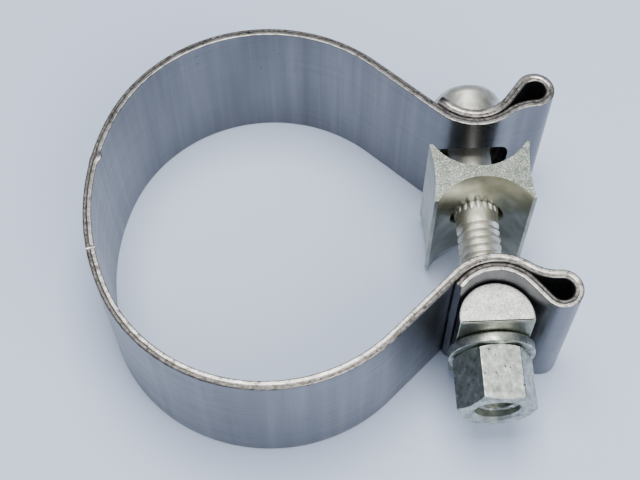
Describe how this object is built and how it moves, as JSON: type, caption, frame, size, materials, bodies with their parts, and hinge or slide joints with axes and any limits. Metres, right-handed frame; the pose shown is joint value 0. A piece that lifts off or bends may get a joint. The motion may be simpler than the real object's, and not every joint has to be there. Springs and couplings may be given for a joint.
{
  "type": "pipe repair clamp",
  "caption": "Wide flat-band pipe clamp, tightened round a pipe by one tee bolt, with a spool-shaped reaction block between the band's saddles.",
  "frame": {"origin": "pipe axis at the band's lower edge, at the ring's centre", "axes": "+Z along the pipe axis, +X from the ring's centre to the bolt, +Y along the bolt towards its head"},
  "size_m": [0.0884, 0.075, 0.0318],
  "materials": {
    "band_steel": "satin stainless strip with sheared edges",
    "zinc_bolt": "zinc plated, faintly yellow",
    "zinc_block": "zinc plated, saw-cut ends",
    "zinc_nut": "zinc plated, mottled"
  },
  "bodies": {
    "back": {"band_back": "band_steel"},
    "upper_end": {"band_upper": "band_steel"},
    "lower_end": {"band_lower": "band_steel"},
    "bolt": {"tee_bolt": "zinc_bolt"},
    "block": {"reaction_block": "zinc_block"},
    "spacer": {"half_round_spacer": "zinc_block"},
    "washer": {"flat_washer": "zinc_nut"},
    "nut": {"hex_nut": "zinc_nut"}
  },
  "joints": [
    {"name": "upper_flex", "type": "hinge", "parent": "back", "child": "upper_end", "pos_m": [-0.03168, 0.00924, 0.01588], "axis": [0, 0, -1], "range_deg": [-2, 8]},
    {"name": "lower_flex", "type": "hinge", "parent": "back", "child": "lower_end", "pos_m": [-0.03168, -0.00924, 0.01588], "axis": [0, 0, 1], "range_deg": [-2, 8]},
    {"name": "bolt_swivel", "type": "hinge", "parent": "upper_end", "child": "bolt", "pos_m": [0.04, 0.02395, 0.01588], "axis": [0, 0, 1], "range_deg": [-2, 8]},
    {"name": "tighten", "type": "slide", "parent": "bolt", "child": "spacer", "axis": [0, 1, 0], "range_m": [-0.003, 0.018]},
    {"name": "block_slide", "type": "slide", "parent": "bolt", "child": "block", "axis": [0, 1, 0], "range_m": [-0.001, 0.005]},
    {"name": "washer_spin", "type": "hinge", "parent": "spacer", "child": "washer", "pos_m": [0.04, -0.026, 0.01588], "axis": [0, 1, 0], "continuous": true},
    {"name": "nut_turn", "type": "hinge", "parent": "spacer", "child": "nut", "pos_m": [0.04, -0.032, 0.01588], "axis": [0, 1, 0], "range_deg": [-800, 4500]}
  ],
  "couplings": [
    {"joint": "upper_flex", "follows": "tighten", "rad_per_m": 6.913},
    {"joint": "lower_flex", "follows": "tighten", "rad_per_m": 6.913},
    {"joint": "bolt_swivel", "follows": "tighten", "rad_per_m": 6.913},
    {"joint": "block_slide", "follows": "tighten", "ratio": 0.25},
    {"joint": "nut_turn", "follows": "tighten", "rad_per_m": 3957.9}
  ]
}
